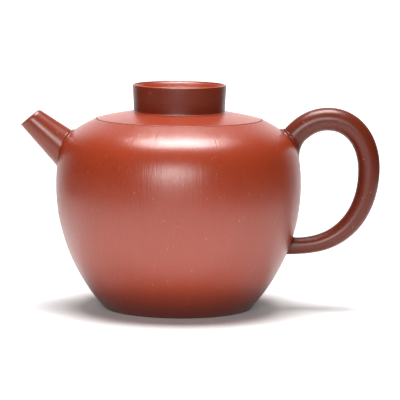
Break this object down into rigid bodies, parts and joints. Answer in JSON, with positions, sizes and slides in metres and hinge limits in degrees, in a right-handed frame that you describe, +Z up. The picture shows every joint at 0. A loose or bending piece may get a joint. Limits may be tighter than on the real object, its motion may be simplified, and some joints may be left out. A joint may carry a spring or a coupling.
{
  "type": "clay teapot",
  "caption": "Round clay teapot with a short straight spout, an ear-shaped loop handle and a flush lift-off lid with a wide hollow ring knob.",
  "frame": {"origin": "centre of the flat base, on the body's axis", "axes": "+Z up along the body's axis, the spout points to -X and the handle to +X"},
  "size_m": [0.1408, 0.096, 0.0879],
  "materials": {
    "clay_body": "satin",
    "clay_lid": "satin",
    "clay_inside": "matte"
  },
  "bodies": {
    "pot": {"base_disc": "clay_body", "body_wall": "clay_body", "shoulder_disc": "clay_body", "lid_seat": "clay_inside", "spout": "clay_body", "spout_strainer": "clay_inside", "handle": "clay_body"},
    "lid": {"lid_plate": "clay_lid", "lid_flange": "clay_inside", "knob_ring": "clay_lid"}
  },
  "joints": [
    {"name": "lid_lift", "type": "slide", "parent": "pot", "child": "lid", "axis": [0, 0, 1], "range_m": [0, 0.05]}
  ]
}
